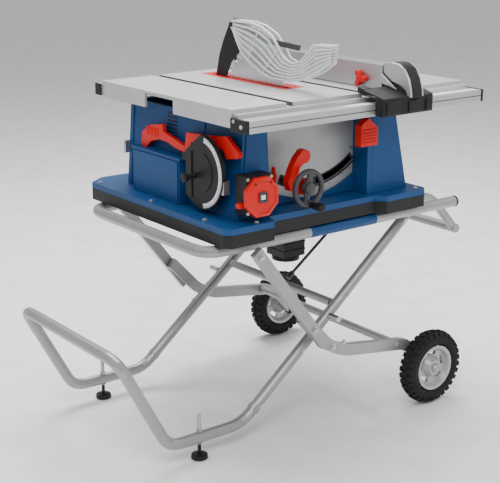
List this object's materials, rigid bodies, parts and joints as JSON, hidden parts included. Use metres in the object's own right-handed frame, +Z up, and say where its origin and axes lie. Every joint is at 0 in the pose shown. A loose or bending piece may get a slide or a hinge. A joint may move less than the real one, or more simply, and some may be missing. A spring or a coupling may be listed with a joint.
{
  "type": "table saw",
  "caption": "Portable table saw with tilting blade unit, rip fence, sliding extension and blade guard on a folding scissor stand with wheels and a pull handle.",
  "frame": {"origin": "centre of the bounding box at floor level", "axes": "+X to the operator's right, +Y away from the operator, +Z up"},
  "size_m": [1.1413, 0.737, 0.9975],
  "materials": {
    "table": "cast and ground aluminium, satin",
    "blue": "blue enamel",
    "black": "black moulded plastic",
    "grey": "dark grey moulded plastic",
    "red": "red moulded plastic",
    "steel": "bright turned and ground steel",
    "stand": "silver-grey powder coat",
    "panel": "silver paint",
    "tyre": "black tread rubber",
    "clear": "clear moulded plastic"
  },
  "bodies": {
    "frame": {"main_table": "table", "throat_plate": "red", "front_rail": "table", "rear_rail": "table", "housing_left": "blue", "housing_right": "blue", "housing_rear": "blue", "bevel_panel": "panel", "base_flange": "blue", "base_pan": "black", "dust_chute": "black", "switch_box": "black", "top_frame_tube": "stand", "cross_bar_left": "stand", "cross_bar_right": "stand", "bumper_loop": "stand"},
    "extension": {"extension_table": "table", "extension_bar_front": "steel", "extension_bar_rear": "steel"},
    "extension_lock": {"extension_lock_lever": "red"},
    "fence": {"fence_beam": "table", "fence_head": "black"},
    "fence_cam": {"fence_lever": "black"},
    "wing_nut": {"fence_wing_nut": "red"},
    "paddle": {"switch_paddle": "red"},
    "tilt": {"tilt_bracket": "grey"},
    "carriage": {"carriage_case": "panel", "motor_housing": "black", "riving_knife": "black", "guard_barrier": "grey"},
    "pinion": {"motor_pinion": "steel"},
    "arbor": {"arbor_gear": "steel", "arbor_shaft": "steel", "blade": "steel"},
    "guard_left": {"guard_left": "clear"},
    "guard_right": {"guard_right": "clear"},
    "handwheel": {"handwheel": "grey"},
    "crank": {"crank_knob": "black"},
    "lead_screw": {"lead_screw": "steel"},
    "bevel_lock": {"bevel_lock_lever": "red"},
    "miter_gauge": {"miter_gauge_head": "black"},
    "miter_knob": {"miter_gauge_knob": "black"},
    "push_stick": {"push_stick": "red"},
    "wheel_leg": {"flat_leg_front": "stand", "flat_leg_rear": "stand", "wheel_arm_front": "stand", "wheel_arm_rear": "stand", "arm_cross_tube": "stand"},
    "wheel_front": {"tyre_front": "tyre", "rim_front": "panel"},
    "wheel_rear": {"tyre_rear": "tyre", "rim_rear": "panel"},
    "handle_leg": {"handle_leg_front": "stand", "handle_leg_rear": "stand", "handle_side_front": "stand", "handle_side_rear": "stand", "handle_grip": "stand", "leg_cross_tube": "stand"},
    "foot_front": {"levelling_foot_front": "black"},
    "foot_rear": {"levelling_foot_rear": "black"}
  },
  "joints": [
    {"name": "extension_slide", "type": "slide", "parent": "frame", "child": "extension", "axis": [1, 0, 0], "range_m": [0, 0.15]},
    {"name": "extension_lock_turn", "type": "hinge", "parent": "frame", "child": "extension_lock", "pos_m": [0.1259, -0.2415, 0.768], "axis": [0, -1, 0], "range_deg": [0, 60]},
    {"name": "fence_slide", "type": "slide", "parent": "frame", "child": "fence", "axis": [1, 0, 0], "range_m": [-0.1, 0.2]},
    {"name": "fence_cam_turn", "type": "hinge", "parent": "fence", "child": "fence_cam", "pos_m": [0.1984, -0.2615, 0.907], "axis": [-1, 0, 0], "range_deg": [0, 60]},
    {"name": "wing_nut_turn", "type": "hinge", "parent": "fence", "child": "wing_nut", "pos_m": [0.1709, -0.1895, 0.866], "axis": [1, 0, 0], "continuous": true},
    {"name": "paddle_lift", "type": "hinge", "parent": "frame", "child": "paddle", "pos_m": [-0.2141, -0.279, 0.6885], "axis": [-1, 0, 0], "range_deg": [0, 60]},
    {"name": "bevel_tilt", "type": "hinge", "parent": "frame", "child": "tilt", "pos_m": [0.0209, -0.1695, 0.843], "axis": [0, -1, 0], "range_deg": [0, 47]},
    {"name": "blade_lift", "type": "slide", "parent": "tilt", "child": "carriage", "axis": [0, 0, 1], "range_m": [-0.079, 0]},
    {"name": "arbor_spin", "type": "hinge", "parent": "carriage", "child": "arbor", "pos_m": [0.0209, 0.0405, 0.795], "axis": [1, 0, 0], "continuous": true},
    {"name": "pinion_spin", "type": "hinge", "parent": "carriage", "child": "pinion", "pos_m": [-0.0791, 0.0636, 0.7642], "axis": [1, 0, 0], "continuous": true},
    {"name": "guard_left_lift", "type": "hinge", "parent": "carriage", "child": "guard_left", "pos_m": [0.0209, 0.1285, 0.98], "axis": [-1, 0, 0], "range_deg": [-0.5, 25.5]},
    {"name": "guard_right_lift", "type": "hinge", "parent": "carriage", "child": "guard_right", "pos_m": [0.0209, 0.1285, 0.98], "axis": [-1, 0, 0], "range_deg": [-0.5, 25.5]},
    {"name": "handwheel_turn", "type": "hinge", "parent": "tilt", "child": "handwheel", "pos_m": [-0.0541, -0.2595, 0.634], "axis": [0, 1, 0], "range_deg": [-2881, 1]},
    {"name": "crank_spin", "type": "hinge", "parent": "handwheel", "child": "crank", "pos_m": [-0.0541, -0.2695, 0.5955], "axis": [0, 1, 0], "continuous": true},
    {"name": "lead_screw_turn", "type": "hinge", "parent": "tilt", "child": "lead_screw", "pos_m": [-0.0541, -0.1095, 0.65], "axis": [0, 0, 1], "range_deg": [-2881, 1]},
    {"name": "bevel_lock_turn", "type": "hinge", "parent": "tilt", "child": "bevel_lock", "pos_m": [-0.0541, -0.2295, 0.634], "axis": [0, -1, 0], "range_deg": [0, 45]},
    {"name": "miter_gauge_off", "type": "slide", "parent": "frame", "child": "miter_gauge", "axis": [-1, 0, 0], "range_m": [0, 0.08]},
    {"name": "miter_knob_turn", "type": "hinge", "parent": "miter_gauge", "child": "miter_knob", "pos_m": [-0.2791, -0.1125, 0.668], "axis": [1, 0, 0], "continuous": true},
    {"name": "push_stick_out", "type": "slide", "parent": "frame", "child": "push_stick", "axis": [0, 1, 0], "range_m": [0, 0.25]},
    {"name": "stand_fold", "type": "hinge", "parent": "frame", "child": "wheel_leg", "pos_m": [-0.2171, 0.0185, 0.5], "axis": [0, -1, 0], "range_deg": [0, 30]},
    {"name": "handle_leg_fold", "type": "hinge", "parent": "wheel_leg", "child": "handle_leg", "pos_m": [0.0559, 0.0185, 0.28], "axis": [0, -1, 0], "range_deg": [-60.2, 0.2]},
    {"name": "wheel_front_spin", "type": "hinge", "parent": "wheel_leg", "child": "wheel_front", "pos_m": [0.3409, -0.3015, 0.1], "axis": [0, 1, 0], "continuous": true},
    {"name": "wheel_rear_spin", "type": "hinge", "parent": "wheel_leg", "child": "wheel_rear", "pos_m": [0.3409, 0.3385, 0.1], "axis": [0, 1, 0], "continuous": true},
    {"name": "foot_front_turn", "type": "hinge", "parent": "handle_leg", "child": "foot_front", "pos_m": [-0.3391, -0.2065, 0], "axis": [0, 0, 1], "continuous": true},
    {"name": "foot_rear_turn", "type": "hinge", "parent": "handle_leg", "child": "foot_rear", "pos_m": [-0.3391, 0.2435, 0], "axis": [0, 0, 1], "continuous": true}
  ],
  "couplings": [
    {"joint": "handwheel_turn", "follows": "blade_lift", "rad_per_m": 636.27},
    {"joint": "lead_screw_turn", "follows": "blade_lift", "rad_per_m": 636.27},
    {"joint": "guard_left_lift", "follows": "blade_lift", "rad_per_m": -5.5232},
    {"joint": "guard_right_lift", "follows": "blade_lift", "rad_per_m": -5.5232},
    {"joint": "pinion_spin", "follows": "arbor_spin", "ratio": -3},
    {"joint": "handle_leg_fold", "follows": "stand_fold", "ratio": -2}
  ]
}
